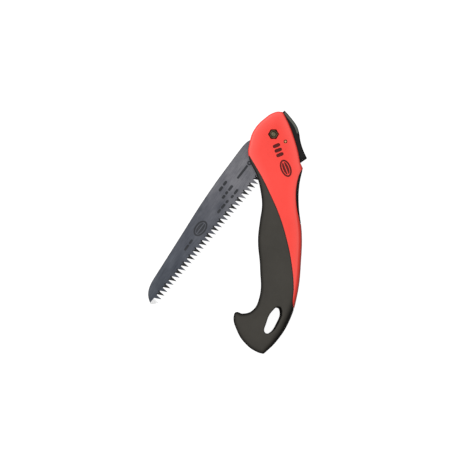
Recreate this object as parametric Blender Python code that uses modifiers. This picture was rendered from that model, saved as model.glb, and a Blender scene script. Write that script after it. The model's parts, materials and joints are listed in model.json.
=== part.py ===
"""Folding pruning saw: two handle shells with soft grips, a pivoting blade and a rocker lock.

Lengths are millimetres and are multiplied by MM when they reach a mesh. Plan positions are given
from the blade's pivot: X towards the spine of the handle, Y towards the head, Z through the
thickness from the plane where the two shells meet. The saw lies on its back face, and the frame's
origin is on that face, under the middle of the grip.
"""

import math

import bmesh
import bpy
from mathutils import Matrix, Vector

MM = 0.001

# Place of the pivot in the frame
PIVOT = (-2.0, 95.0, 11.0)

# Handle
HANDLE_HALF = 11.0
EDGE_ROUNDING = 2.0
SEAM_HALF = 0.15
SKIN = 2.5
FIT_GAP = 0.3
CURVE_STEPS = 3
CORNER = "VECTOR"
HANDLE_OUTLINE = (
    (8.6, 20.6, CORNER), (2.8, 20.9), (-8.4, 14.6), (-18.5, 3.3), (-22.3, -8.0), (-23.4, -18.5),
    (-14.8, -40.0), (-11.8, -53.0), (-10.6, -66.0), (-12.5, -80.0), (-14.3, -98.0), (-12.4, -124.0),
    (-13.2, -152.0), (-19.5, -163.6), (-28.6, -166.6), (-34.8, -165.2), (-36.8, -168.0),
    (-34.0, -182.0), (-25.3, -195.0), (-15.2, -202.0), (-9.2, -203.8, CORNER), (2.5, -192.5),
    (14.8, -173.2), (22.3, -148.0), (25.7, -116.0), (26.3, -92.0), (23.5, -66.0), (23.9, -48.0),
    (27.2, -31.5, CORNER), (24.6, -26.0, CORNER), (22.4, -15.0), (17.9, 0.0), (14.0, 10.0),
)
# Line where the red shell meets the grip, from the belly of the head to the end of the spine
GRIP_LINE = (
    (-22.4, -20.5, CORNER), (-10.9, -40.0), (-3.1, -56.0), (5.1, -75.0), (12.1, -98.0),
    (16.8, -122.0), (18.4, -142.0), (17.7, -158.0), (19.6, -166.0, CORNER),
)
GRIP_SURROUND = ((60.0, -240.0, CORNER), (-80.0, -240.0, CORNER), (-80.0, -20.5, CORNER))
# Hard core of a shell under its grip
CORE_OUTLINE = (
    (4.0, -38.0, CORNER), (-8.0, -38.0, CORNER), (-10.8, -46.0), (-9.2, -54.0), (-8.1, -66.0),
    (-10.0, -80.0), (-11.8, -98.0), (-9.9, -124.0), (-10.6, -151.0), (-16.0, -164.6),
    (-27.0, -169.2), (-34.0, -170.0), (-31.6, -181.0), (-23.6, -192.7), (-14.0, -199.6),
    (-9.0, -200.2), (0.4, -191.2), (12.4, -172.4), (18.6, -154.0), (22.5, -125.0), (22.0, -90.0),
    (17.0, -45.0, CORNER),
)
LANYARD_HOLE = (
    (4.4, -160.6), (6.9, -164.0), (4.6, -174.6), (-3.6, -185.3), (-8.6, -185.2), (-7.7, -175.5),
    (-1.9, -164.2),
)
HOLE_LINING = 1.7
# Inner edge of the soft strip that forms the spine of the neck
PAD_LINE = (
    (25.9, -33.4, CORNER), (23.2, -40.0), (21.4, -49.0), (20.9, -56.0), (21.6, -67.0),
    (25.0, -82.5, CORNER),
)
PAD_SURROUND = ((45.0, -82.5, CORNER), (45.0, -33.4, CORNER))

# Blade, in its own frame: U from the pivot to the tip, V towards the teeth
BLADE_HALF = 0.6
BLADE_ANGLE_CLOSED = -93.0
BLADE_OPENED = 30.5
BLADE_TRAVEL = 180.0
TANG_RADIUS = 10.4
BORE_RADIUS = 3.75
TOOTH_COUNT = 36
FIRST_TOOTH_U = 37.5
LAST_TOOTH_U = 189.5
FIRST_TOOTH_V = 14.85
LAST_TOOTH_V = -2.6
TOOTH_DEPTH = 6.2
TOOTH_LEAN = 0.9
GULLET_HALF = 0.35
SHOULDER_ANGLE = -43.5
HEEL_ANGLE = 48.5
HEEL = ((35.2, 11.0), (15.0, 10.4))
NOTCH_RADIUS = 8.6
NOTCH_HALF_ANGLE = 9.5
LATCH_ANGLE = 35.0
# Back of the blade, from the shoulder to the nose
BACK = (
    (16.3, -15.3), (20.0, -16.9), (27.0, -18.0), (46.0, -19.1), (66.0, -20.1), (94.0, -20.5),
    (125.0, -19.8), (150.0, -19.3), (168.0, -19.0), (176.5, -18.7), (182.8, -17.6),
    (187.5, -15.6), (191.2, -12.6), (194.0, -8.9),
)
NOSE = ((194.2, -7.3), (192.3, -5.4))
BACK_STEPS = 2

# Slot between the shells, wide enough for the blade and its washers
SLOT_HALF = 1.7
SLOT_CLEARANCE = 0.9
SWING_RADIUS = 196.3

# Lock lever and what moves with it
LOCK_PIN = (11.0, -6.8)
LEVER_HALF = 6.1
CHANNEL_HALF = 6.6
LEVER_SLOT_HALF = 1.5
LEVER_OUTLINE = (
    (10.3, 22.2, CORNER), (16.6, 15.0), (21.9, 7.3), (23.9, 1.0), (25.0, -6.0), (27.4, -14.0),
    (31.1, -22.3, CORNER), (24.9, -26.6, CORNER), (22.0, -22.5, CORNER), (17.5, -13.5, CORNER),
    (12.6, -10.0), (9.3, -10.0), (7.4, -6.8), (9.0, -3.7), (11.8, -1.5, CORNER), (11.5, 2.0),
    (9.2, 7.2), (6.8, 14.0), (7.4, 19.0),
)
CHANNEL_OUTLINE = (
    (4.5, 32.0, CORNER), (5.9, 14.0), (8.2, 7.4), (10.8, 2.0), (10.9, -1.3, CORNER), (7.9, -3.4),
    (6.6, -6.6), (7.6, -9.5), (11.0, -11.0, CORNER), (16.1, -14.3, CORNER), (19.6, -23.8, CORNER),
    (22.2, -28.8, CORNER), (40.0, -28.4, CORNER), (40.0, 32.0, CORNER),
)
LATCH_HALF = 1.2
LATCH_REACH = 10.75
RIVET_PLACE = (15.8, 7.0)

# Fasteners and pins: radius, then lowest and highest Z where it is a plain pin
LOCK_PIN_SIZE = (1.7, -10.7, 10.7)
STOP_PIN_PLACE = (11.5, -16.4)
STOP_PIN_SIZE = (1.5, -6.0, 6.0)
RIVET_SIZE = (1.2, -5.8, 5.8)
BUSH_OUTER = 3.3
BUSH_INNER = 2.7
BUSH_HALF = 5.1
WASHER_OUTER = 7.2
WASHER_INNER = 3.6
WASHER_LOW = 0.85
WASHER_HIGH = 1.45
RECESS_FLOOR = 5.5
NUT_ACROSS_FLATS = 8.1
NUT_LOW = 5.8
NUT_HIGH = 9.8
NUT_RECESS_FLATS = 8.9
BOLT_RADIUS = 2.4
BOLT_END = 10.2
BOLT_HEAD_RADIUS = 4.7
BOLT_HEAD_TOP = -7.0
BOLT_HEAD_LOW = -10.2
SOCKET_FLATS = 3.0
SOCKET_DEPTH = 1.8
BOLT_RECESS_RADIUS = 5.2
SPRING_WASHER_OUTER = 4.5
SPRING_WASHER_INNER = 2.7
SHELL_SCREWS = ((17.8, -43.0), (17.5, -93.0), (10.0, -143.0), (-6.3, -193.2))
SCREW_RADIUS = 1.3
SCREW_END = 6.5
SCREW_HEAD_RADIUS = 2.8
SCREW_HEAD_LOW = -10.6
SCREW_HEAD_TOP = -7.8
SCREW_RECESS_FLOOR = -7.5
SCREW_RECESS_RADIUS = 3.2

# Lock spring, from its seat in the shells to the inner face of the lever
SPRING_SEAT = (14.9, -23.5)
SPRING_END = (19.1, -19.9)
SPRING_RADIUS = 2.0
SPRING_WIRE = 0.32
SPRING_TURNS = 4
SPRING_TURN_POINTS = 12
POCKET_HALF = 3.0

ROUND_SIDES = 32
FAR = 60.0

RED = (0.92, 0.075, 0.055)
DARK_SOFT = (0.060, 0.056, 0.050)
BLACK_NYLON = (0.014, 0.014, 0.013)
DARK_STEEL = (0.125, 0.135, 0.155)
BRIGHT_STEEL = (0.48, 0.48, 0.47)
YELLOW_METAL = (0.45, 0.36, 0.20)


# ---------------------------------------------------------------- scene and materials


def clear_scene():
    for item in list(bpy.data.objects):
        bpy.data.objects.remove(item, do_unlink=True)


def new_collection(name):
    collection = bpy.data.collections.new(name)
    bpy.context.scene.collection.children.link(collection)
    return collection


def principled(name, colour, roughness, metallic):
    material = bpy.data.materials.new(name)
    material.use_nodes = True
    shader = material.node_tree.nodes["Principled BSDF"]
    shader.inputs["Base Color"].default_value = (*colour, 1.0)
    shader.inputs["Roughness"].default_value = roughness
    shader.inputs["Metallic"].default_value = metallic
    return material


def new_empty(name, parent, place):
    empty = bpy.data.objects.new(name, None)
    empty.empty_display_size = 10.0 * MM
    parts.objects.link(empty)
    empty.parent = parent
    empty.location = Vector(place) * MM
    return empty


# ---------------------------------------------------------------- shape helpers


def fill_bezier(spline, points):
    spline.bezier_points.add(len(points) - 1)
    for knot, point in zip(spline.bezier_points, points):
        kind = point[2] if len(point) > 2 else "AUTO"
        knot.co = (point[0] * MM, point[1] * MM, 0.0)
        knot.handle_left_type = kind
        knot.handle_right_type = kind


def fill_poly(spline, points):
    spline.points.add(len(points) - 1)
    for knot, point in zip(spline.points, points):
        knot.co = (point[0] * MM, point[1] * MM, 0.0, 1.0)


def curve_to_mesh(curve_object):
    """Replace a curve object by a closed mesh object of the same name."""
    name = curve_object.name
    bpy.context.view_layer.update()
    depsgraph = bpy.context.evaluated_depsgraph_get()
    mesh = bpy.data.meshes.new_from_object(curve_object.evaluated_get(depsgraph))
    work = bmesh.new()
    work.from_mesh(mesh)
    bmesh.ops.remove_doubles(work, verts=work.verts, dist=0.001 * MM)
    bmesh.ops.recalc_face_normals(work, faces=work.faces)
    work.to_mesh(mesh)
    work.free()
    matrix = curve_object.matrix_world.copy()
    bpy.data.objects.remove(curve_object, do_unlink=True)
    solid = bpy.data.objects.new(name, mesh)
    solid.matrix_world = matrix
    return solid


def slab(name, points, low, high, rounding=0.0, grow=0.0, smooth=True):
    """Flat outline between two heights, with its edges rounded and its sides moved out."""
    curve = bpy.data.curves.new(name, "CURVE")
    curve.dimensions = "2D"
    curve.fill_mode = "BOTH"
    curve.resolution_u = CURVE_STEPS
    curve.extrude = ((high - low) / 2.0 - rounding) * MM
    curve.bevel_depth = rounding * MM
    curve.bevel_resolution = 1
    curve.offset = (grow - rounding) * MM
    spline = curve.splines.new("BEZIER" if smooth else "POLY")
    if smooth:
        fill_bezier(spline, points)
    else:
        fill_poly(spline, points)
    spline.use_cyclic_u = True
    holder = bpy.data.objects.new(name, curve)
    parts.objects.link(holder)
    holder.location.z = (low + high) / 2.0 * MM
    return settle(curve_to_mesh(holder))


def settle(solid):
    """Bake an unparented object's place into its mesh, so that its origin is the pivot."""
    solid.data.transform(solid.matrix_world)
    solid.matrix_world = Matrix.Identity(4)
    return solid


def prism(name, sides, radius, low, high, place=(0.0, 0.0)):
    mesh = bpy.data.meshes.new(name)
    work = bmesh.new()
    bmesh.ops.create_cone(work, cap_ends=True, segments=sides, radius1=radius * MM,
                          radius2=radius * MM, depth=(high - low) * MM)
    centre = Vector((place[0], place[1], (low + high) / 2.0)) * MM
    bmesh.ops.translate(work, verts=work.verts, vec=centre)
    work.to_mesh(mesh)
    work.free()
    return bpy.data.objects.new(name, mesh)


def cylinder(name, size, place=(0.0, 0.0)):
    radius, low, high = size
    return prism(name, ROUND_SIDES, radius, low, high, place)


def hexagon(name, across_flats, low, high):
    """Six-sided prism with two corners on the X axis."""
    solid = prism(name, 6, across_flats / math.sqrt(3.0), low, high)
    solid.data.transform(Matrix.Rotation(math.radians(30.0), 4, "Z"))
    return solid


def box(name, low, high):
    mesh = bpy.data.meshes.new(name)
    work = bmesh.new()
    bmesh.ops.create_cube(work, size=1.0)
    size = Vector(high) - Vector(low)
    middle = (Vector(high) + Vector(low)) / 2.0
    bmesh.ops.scale(work, verts=work.verts, vec=size * MM)
    bmesh.ops.translate(work, verts=work.verts, vec=middle * MM)
    work.to_mesh(mesh)
    work.free()
    return bpy.data.objects.new(name, mesh)


def turned(name, profile):
    """Solid of revolution about Z from (radius, height) points, outer side first, top to bottom."""
    mesh = bpy.data.meshes.new(name)
    vertices = [(radius * MM, 0.0, height * MM) for radius, height in profile]
    count = len(vertices)
    closed = profile[0][0] > 0.0
    edges = [(i, (i + 1) % count) for i in range(count if closed else count - 1)]
    mesh.from_pydata(vertices, edges, [])
    solid = bpy.data.objects.new(name, mesh)
    screw = solid.modifiers.new("turn", "SCREW")
    screw.axis = "Z"
    screw.steps = ROUND_SIDES
    screw.render_steps = ROUND_SIDES
    screw.use_merge_vertices = True
    screw.merge_threshold = 0.00001
    return solid


def add_part(solid, material, parent):
    parts.objects.link(solid)
    solid.parent = parent
    solid.data.materials.clear()
    solid.data.materials.append(material)
    solid.data.shade_smooth()
    solid.data.set_sharp_from_angle(angle=math.radians(35.0))
    return solid


def add_cutter(solid, parent):
    cutters.objects.link(solid)
    solid.parent = parent
    solid.hide_render = True
    solid.display_type = "WIRE"
    return solid


def apply_boolean(solid, other, operation):
    step = solid.modifiers.new(other.name, "BOOLEAN")
    step.operation = operation
    step.object = other


def cut(solid, *tools):
    for tool in tools:
        apply_boolean(solid, tool, "DIFFERENCE")


def polar(radius, degrees):
    angle = math.radians(degrees)
    return (radius * math.cos(angle), radius * math.sin(angle))


# ---------------------------------------------------------------- blade


def tooth_v(u):
    """Height of the tooth tips over the pivot line, at a distance along the blade."""
    share = (u - FIRST_TOOTH_U) / (LAST_TOOTH_U - FIRST_TOOTH_U)
    return FIRST_TOOTH_V + share * (LAST_TOOTH_V - FIRST_TOOTH_V)


def tooth_points():
    """Tips and gullets from the tip of the blade back to the heel."""
    pitch = (LAST_TOOTH_U - FIRST_TOOTH_U) / (TOOTH_COUNT - 1)
    points = []
    for index in reversed(range(TOOTH_COUNT)):
        u = FIRST_TOOTH_U + index * pitch
        points.append((u, tooth_v(u)))
        if index:
            gullet = u - pitch / 2.0 + TOOTH_LEAN
            depth_v = tooth_v(gullet) - TOOTH_DEPTH
            points.append((gullet + GULLET_HALF, depth_v))
            points.append((gullet - GULLET_HALF, depth_v))
    return points


def smooth_path(points, steps):
    """Points of a Catmull-Rom curve through the given ones."""
    ends = (points[0],) + tuple(points) + (points[-1],)
    path = []
    for before, start, end, after in zip(ends, ends[1:], ends[2:], ends[3:]):
        for index in range(steps):
            t = index / steps
            path.append(tuple(
                0.5 * (2.0 * b + (c - a) * t + (2.0 * a - 5.0 * b + 4.0 * c - d) * t ** 2
                       + (3.0 * b - 3.0 * c + d - a) * t ** 3)
                for a, b, c, d in zip(before, start, end, after)))
    return path + [points[-1]]


def rim_radius(degrees):
    """Tang radius at an angle of the blade's frame; it drops where the latch falls in."""
    closed_notch = LATCH_ANGLE - BLADE_ANGLE_CLOSED
    open_notch = closed_notch + BLADE_TRAVEL
    for notch in (closed_notch, open_notch):
        if abs(degrees - notch) < NOTCH_HALF_ANGLE:
            return NOTCH_RADIUS
    return TANG_RADIUS


def tang_points():
    """Rim of the tang from the heel round behind the pivot to the shoulder."""
    last = 360.0 + SHOULDER_ANGLE
    angles = [HEEL_ANGLE]
    notch = LATCH_ANGLE - BLADE_ANGLE_CLOSED
    edge = NOTCH_HALF_ANGLE
    angles += [60.0 + 7.5 * i for i in range(8)]
    angles += [notch - edge - 0.1, notch - edge + 0.1, notch, notch + edge - 0.1, notch + edge + 0.1]
    angles += [145.0 + 7.5 * i for i in range(21)]
    angles += [notch + BLADE_TRAVEL - edge - 0.1, notch + BLADE_TRAVEL - edge + 0.1, last]
    return [polar(rim_radius(a) if a < last else NOTCH_RADIUS, a) for a in angles]


def make_blade(parent):
    back = smooth_path(BACK, BACK_STEPS)
    outline = back + list(NOSE) + tooth_points() + list(HEEL) + tang_points()
    blade = slab("blade", outline, -BLADE_HALF, BLADE_HALF, smooth=False)
    add_part(blade, dark_steel, parent)
    bore = cylinder("blade_bore", (BORE_RADIUS, -FAR, FAR))
    add_cutter(bore, parent)
    cut(blade, bore)


# ---------------------------------------------------------------- cutters for the handle


def blade_to_plan(u, v, degrees):
    angle = math.radians(degrees)
    x = u * math.cos(angle) - v * math.sin(angle)
    y = u * math.sin(angle) + v * math.cos(angle)
    return (x, y)


def slot_outline():
    """Plan of the space that the blade sweeps between open and closed."""
    closed = BLADE_ANGLE_CLOSED
    first = blade_to_plan(FIRST_TOOTH_U, FIRST_TOOTH_V + SLOT_CLEARANCE, closed)
    last = blade_to_plan(LAST_TOOTH_U, LAST_TOOTH_V + SLOT_CLEARANCE, closed)
    start = math.degrees(math.atan2(-math.sqrt(SWING_RADIUS ** 2 - last[0] ** 2), last[0]))
    arc = [polar(SWING_RADIUS, start - 2.0 * i) for i in range(9)]
    head = [(FAR, FAR), (FAR, -14.0), (14.0, -14.0), (13.2, -26.0)]
    return head + [first, last] + arc + [(-80.0, -185.0), (-80.0, FAR)]


def make_handle_cutters(parent):
    tools = {}
    far = FAR
    wide = 300.0
    tools["half_front"] = box("half_front", (-wide, -wide, -far), (wide, wide, SEAM_HALF))
    tools["half_back"] = box("half_back", (-wide, -wide, -SEAM_HALF), (wide, wide, far))
    tools["grip_zone"] = slab("grip_zone", GRIP_LINE + GRIP_SURROUND, -far, far)
    tools["shell_zone"] = slab("shell_zone", GRIP_LINE + GRIP_SURROUND, -far, far, grow=FIT_GAP)
    core_half = HANDLE_HALF - SKIN
    tools["core"] = slab("core", CORE_OUTLINE, -core_half, core_half)
    tools["core_space"] = slab("core_space", CORE_OUTLINE, -core_half - FIT_GAP,
                               core_half + FIT_GAP, grow=FIT_GAP)
    tools["lanyard"] = slab("lanyard", LANYARD_HOLE, -far, far)
    tools["lining"] = slab("lining", LANYARD_HOLE, -far, far, grow=HOLE_LINING)
    tools["lining_space"] = slab("lining_space", LANYARD_HOLE, -far, far,
                                 grow=HOLE_LINING + FIT_GAP)
    tools["slot"] = slab("slot", slot_outline(), -SLOT_HALF, SLOT_HALF, smooth=False)
    tools["channel"] = slab("channel", CHANNEL_OUTLINE, -CHANNEL_HALF, CHANNEL_HALF)
    tools["pad_zone"] = slab("pad_zone", PAD_LINE + PAD_SURROUND, -far, far)
    tools["pad_space"] = slab("pad_space", PAD_LINE + PAD_SURROUND, -far, far, grow=FIT_GAP)
    tools["spring_pocket"] = spring_pocket()
    tools["bush_bore"] = cylinder("bush_bore", (BUSH_OUTER + FIT_GAP, -far, far))
    tools["nut_recess"] = hexagon("nut_recess", NUT_RECESS_FLATS, RECESS_FLOOR, far)
    tools["bolt_recess"] = cylinder("bolt_recess", (BOLT_RECESS_RADIUS, -far, -RECESS_FLOOR))
    tools["lock_bore"] = cylinder("lock_bore", (LOCK_PIN_SIZE[0] + FIT_GAP, -far, far), LOCK_PIN)
    reach = STOP_PIN_SIZE[2] + FIT_GAP
    tools["stop_bore"] = cylinder("stop_bore", (STOP_PIN_SIZE[0] + FIT_GAP, -reach, reach),
                                  STOP_PIN_PLACE)
    for index, place in enumerate(SHELL_SCREWS, start=1):
        bore = (SCREW_RADIUS + FIT_GAP, -far, SCREW_END + FIT_GAP)
        tools[f"screw_bore_{index}"] = cylinder(f"screw_bore_{index}", bore, place)
        recess = (SCREW_RECESS_RADIUS, -far, SCREW_RECESS_FLOOR)
        tools[f"screw_recess_{index}"] = cylinder(f"screw_recess_{index}", recess, place)
    for tool in tools.values():
        add_cutter(tool, parent)
    return tools


def spring_pocket():
    """Box along the spring's axis, sunk into both shells."""
    seat = Vector(SPRING_SEAT)
    axis = (Vector(SPRING_END) - seat).normalized()
    length = 9.0
    solid = box("spring_pocket", (-FIT_GAP, -POCKET_HALF, -POCKET_HALF),
                (length, POCKET_HALF, POCKET_HALF))
    turn = Matrix.Rotation(math.atan2(axis.y, axis.x), 4, "Z")
    solid.data.transform(Matrix.Translation(Vector((seat.x, seat.y, 0.0)) * MM) @ turn)
    return solid


# ---------------------------------------------------------------- handle


def handle_form(name):
    return slab(name, HANDLE_OUTLINE, -HANDLE_HALF, HANDLE_HALF, rounding=EDGE_ROUNDING)


def hollow_core(tools):
    """The shells' core with room for the lining of the lanyard hole."""
    cut(tools["core"], tools["lining_space"])
    cut(tools["core_space"], tools["lining"])


def make_shell(side, tools, parent):
    shell = handle_form(f"shell_{side}")
    add_part(shell, red_plastic, parent)
    cut(shell, tools["shell_zone"])
    apply_boolean(shell, tools["core"], "UNION")
    cut(shell, tools[f"half_{side}"], tools["slot"], tools["channel"], tools["pad_space"])
    cut(shell, tools["spring_pocket"], tools["bush_bore"], tools["lock_bore"], tools["stop_bore"])
    cut(shell, tools["nut_recess"] if side == "front" else tools["bolt_recess"])
    for index in range(1, len(SHELL_SCREWS) + 1):
        cut(shell, tools[f"screw_bore_{index}"])
        if side == "back":
            cut(shell, tools[f"screw_recess_{index}"])


def make_grip(side, tools, parent):
    grip = handle_form(f"grip_{side}")
    add_part(grip, soft_grip, parent)
    apply_boolean(grip, tools["grip_zone"], "INTERSECT")
    cut(grip, tools["core_space"], tools[f"half_{side}"], tools["slot"], tools["lanyard"])
    if side == "back":
        for index in (3, 4):
            cut(grip, tools[f"screw_recess_{index}"])


def make_spine_pad(tools, parent):
    pad = handle_form("spine_pad")
    add_part(pad, soft_grip, parent)
    apply_boolean(pad, tools["pad_zone"], "INTERSECT")


# ---------------------------------------------------------------- pivot


def ring(name, outer, inner, low, high):
    return turned(name, ((outer, high), (outer, low), (inner, low), (inner, high)))


def make_pivot(parent):
    bush = ring("pivot_bush", BUSH_OUTER, BUSH_INNER, -BUSH_HALF, BUSH_HALF)
    add_part(bush, bright_steel, parent)
    front = ring("pivot_washer_front", WASHER_OUTER, WASHER_INNER, WASHER_LOW, WASHER_HIGH)
    add_part(front, bright_steel, parent)
    back = ring("pivot_washer_back", WASHER_OUTER, WASHER_INNER, -WASHER_HIGH, -WASHER_LOW)
    add_part(back, bright_steel, parent)
    make_nut(parent)
    make_bolt(parent)
    make_spring_washer(parent)


def make_nut(parent):
    nut = hexagon("pivot_nut", NUT_ACROSS_FLATS, NUT_LOW, NUT_HIGH)
    add_part(nut, yellow_metal, parent)
    bore = cylinder("nut_bore", (BOLT_RADIUS + FIT_GAP, -FAR, FAR))
    add_cutter(bore, parent)
    cut(nut, bore)


def make_bolt(parent):
    edge = 0.5
    dome = 1.2
    profile = (
        (0.0, BOLT_END), (BOLT_RADIUS - edge, BOLT_END), (BOLT_RADIUS, BOLT_END - edge),
        (BOLT_RADIUS, BOLT_HEAD_TOP), (BOLT_HEAD_RADIUS, BOLT_HEAD_TOP),
        (BOLT_HEAD_RADIUS, BOLT_HEAD_LOW + dome), (BOLT_HEAD_RADIUS - dome, BOLT_HEAD_LOW),
        (0.0, BOLT_HEAD_LOW),
    )
    bolt = turned("pivot_bolt", profile)
    add_part(bolt, yellow_metal, parent)
    socket = hexagon("bolt_socket", SOCKET_FLATS, -FAR, BOLT_HEAD_LOW + SOCKET_DEPTH)
    add_cutter(socket, parent)
    cut(bolt, socket)


def make_spring_washer(parent):
    top = -RECESS_FLOOR - FIT_GAP
    thick = 0.5
    cone = 0.3
    profile = (
        (SPRING_WASHER_OUTER, top), (SPRING_WASHER_OUTER, top - thick),
        (SPRING_WASHER_INNER, top - thick - cone), (SPRING_WASHER_INNER, top - cone),
    )
    add_part(turned("spring_washer", profile), bright_steel, parent)


# ---------------------------------------------------------------- lock


def latch_outline(grow):
    start, end = LATCH_ANGLE - 7.5, LATCH_ANGLE + 6.8
    reach = LATCH_REACH - grow
    nose = [polar(reach, start), polar(reach, LATCH_ANGLE), polar(reach, end)]
    return nose + [polar(16.0, end), (18.4, 9.5), (18.4, 3.5), polar(12.9, start - 2.0)]


def make_lever(parent):
    lever = slab("lock_lever", LEVER_OUTLINE, -LEVER_HALF, LEVER_HALF, rounding=0.8)
    add_part(lever, black_nylon, parent)
    half = LEVER_SLOT_HALF
    fork = ((7.5, 6.6), (22.0, 19.5), (22.0, FAR), (0.0, FAR), (0.0, 6.6))
    tools = (
        cylinder("tang_space", (TANG_RADIUS + 1.0, -half, half)),
        slab("latch_space", latch_outline(0.0), -half, half, grow=FIT_GAP, smooth=False),
        slab("fork_space", fork, -half, half, smooth=False),
        cylinder("lever_bore", (LOCK_PIN_SIZE[0] + FIT_GAP, -FAR, FAR), LOCK_PIN),
        cylinder("rivet_bore", (RIVET_SIZE[0] + FIT_GAP, -FAR, FAR), RIVET_PLACE),
    )
    for tool in tools:
        add_cutter(tool, parent)
    cut(lever, *tools)
    latch = slab("latch_plate", latch_outline(0.0), -LATCH_HALF, LATCH_HALF, smooth=False)
    add_part(latch, bright_steel, parent)
    cut(latch, tools[-1])
    add_part(cylinder("latch_rivet", RIVET_SIZE, RIVET_PLACE), bright_steel, parent)
    for child in (lever, latch, *tools, bpy.data.objects["latch_rivet"]):
        child.location = Vector((-LOCK_PIN[0], -LOCK_PIN[1], 0.0)) * MM


def make_lock_spring(parent):
    seat = Vector(SPRING_SEAT)
    run = Vector(SPRING_END) - seat
    length = run.length - 2.0 * SPRING_WIRE
    count = SPRING_TURNS * SPRING_TURN_POINTS + 1
    curve = bpy.data.curves.new("lock_spring", "CURVE")
    curve.dimensions = "3D"
    curve.bevel_depth = SPRING_WIRE * MM
    curve.bevel_resolution = 2
    curve.use_fill_caps = True
    spline = curve.splines.new("POLY")
    spline.points.add(count - 1)
    for index, knot in enumerate(spline.points):
        along = SPRING_WIRE + length * index / (count - 1)
        across, up = polar(SPRING_RADIUS, 360.0 * index / SPRING_TURN_POINTS)
        knot.co = (along * MM, across * MM, up * MM, 1.0)
    holder = bpy.data.objects.new("lock_spring", curve)
    parts.objects.link(holder)
    holder.location = Vector((seat.x, seat.y, 0.0)) * MM
    holder.rotation_euler.z = math.atan2(run.y, run.x)
    add_part(settle(curve_to_mesh(holder)), bright_steel, parent)


# ---------------------------------------------------------------- pins and screws


def make_pins(parent):
    add_part(cylinder("lock_pin", LOCK_PIN_SIZE, LOCK_PIN), yellow_metal, parent)
    add_part(cylinder("stop_pin", STOP_PIN_SIZE, STOP_PIN_PLACE), bright_steel, parent)


def make_shell_screws(parent):
    edge = 0.6
    profile = (
        (0.0, SCREW_END), (SCREW_RADIUS - edge, SCREW_END), (SCREW_RADIUS, SCREW_END - edge),
        (SCREW_RADIUS, SCREW_HEAD_TOP), (SCREW_HEAD_RADIUS, SCREW_HEAD_TOP),
        (SCREW_HEAD_RADIUS, SCREW_HEAD_LOW + edge), (SCREW_HEAD_RADIUS - edge, SCREW_HEAD_LOW),
        (0.0, SCREW_HEAD_LOW),
    )
    for index, place in enumerate(SHELL_SCREWS, start=1):
        screw = turned(f"shell_screw_{index}", profile)
        add_part(screw, bright_steel, parent)
        screw.location = Vector((place[0], place[1], 0.0)) * MM


# ---------------------------------------------------------------- assembly

clear_scene()
parts = new_collection("folding_pruning_saw")
cutters = new_collection("cutters")
red_plastic = principled("red_plastic", RED, 0.38, 0.0)
soft_grip = principled("soft_grip", DARK_SOFT, 0.62, 0.0)
black_nylon = principled("black_nylon", BLACK_NYLON, 0.42, 0.0)
dark_steel = principled("dark_steel", DARK_STEEL, 0.42, 0.9)
bright_steel = principled("bright_steel", BRIGHT_STEEL, 0.3, 1.0)
yellow_metal = principled("yellow_metal", YELLOW_METAL, 0.35, 1.0)

handle_axis = new_empty("handle_axis", None, PIVOT)
blade_axis = new_empty("blade_axis", handle_axis, (0.0, 0.0, 0.0))
blade_axis.rotation_euler.z = math.radians(BLADE_ANGLE_CLOSED - BLADE_OPENED)
lever_axis = new_empty("lever_axis", handle_axis, (LOCK_PIN[0], LOCK_PIN[1], 0.0))

handle_tools = make_handle_cutters(handle_axis)
hollow_core(handle_tools)
for half in ("front", "back"):
    make_shell(half, handle_tools, handle_axis)
    make_grip(half, handle_tools, handle_axis)
make_spine_pad(handle_tools, handle_axis)
make_pivot(handle_axis)
make_pins(handle_axis)
make_shell_screws(handle_axis)
make_lock_spring(handle_axis)
make_blade(blade_axis)
make_lever(lever_axis)
bpy.context.view_layer.update()
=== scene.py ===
"""Looks of the folding pruning saw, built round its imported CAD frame.

Lengths are millimetres and plan positions are given from the blade's pivot, as in the part's own
source: X towards the spine of the handle, Y towards the head, Z from the plane where the two
shells meet. They are turned into metres of the row frame when a mesh is finished.
"""

import json
import math

import bmesh
import bpy
import numpy as np
from mathutils import Matrix, Vector
from mathutils.geometry import delaunay_2d_cdt

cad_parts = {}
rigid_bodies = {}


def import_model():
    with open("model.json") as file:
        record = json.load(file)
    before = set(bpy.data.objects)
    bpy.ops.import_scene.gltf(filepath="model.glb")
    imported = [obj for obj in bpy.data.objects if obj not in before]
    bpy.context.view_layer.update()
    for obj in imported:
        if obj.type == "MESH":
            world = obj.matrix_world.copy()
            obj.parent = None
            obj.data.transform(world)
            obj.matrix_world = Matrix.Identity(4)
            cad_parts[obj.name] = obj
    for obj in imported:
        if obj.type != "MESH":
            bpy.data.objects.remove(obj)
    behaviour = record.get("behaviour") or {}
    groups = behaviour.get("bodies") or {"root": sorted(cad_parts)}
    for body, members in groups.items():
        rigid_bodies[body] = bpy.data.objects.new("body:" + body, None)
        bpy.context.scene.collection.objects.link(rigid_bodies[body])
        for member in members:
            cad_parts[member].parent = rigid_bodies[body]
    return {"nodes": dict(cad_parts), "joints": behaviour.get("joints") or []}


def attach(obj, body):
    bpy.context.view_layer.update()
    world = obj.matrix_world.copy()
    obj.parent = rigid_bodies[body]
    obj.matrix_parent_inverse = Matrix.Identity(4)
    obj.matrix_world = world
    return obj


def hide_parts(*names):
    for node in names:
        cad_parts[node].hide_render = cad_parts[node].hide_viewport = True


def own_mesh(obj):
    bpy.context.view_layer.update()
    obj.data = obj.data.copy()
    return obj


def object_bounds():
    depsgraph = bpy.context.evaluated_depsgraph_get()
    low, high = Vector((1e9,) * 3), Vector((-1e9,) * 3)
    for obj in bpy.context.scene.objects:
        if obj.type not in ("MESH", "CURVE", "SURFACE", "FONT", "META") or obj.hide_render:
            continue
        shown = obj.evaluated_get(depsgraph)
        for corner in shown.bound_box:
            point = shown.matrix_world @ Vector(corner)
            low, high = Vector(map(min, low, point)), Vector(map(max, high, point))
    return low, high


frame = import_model()
cad_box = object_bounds()

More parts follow.
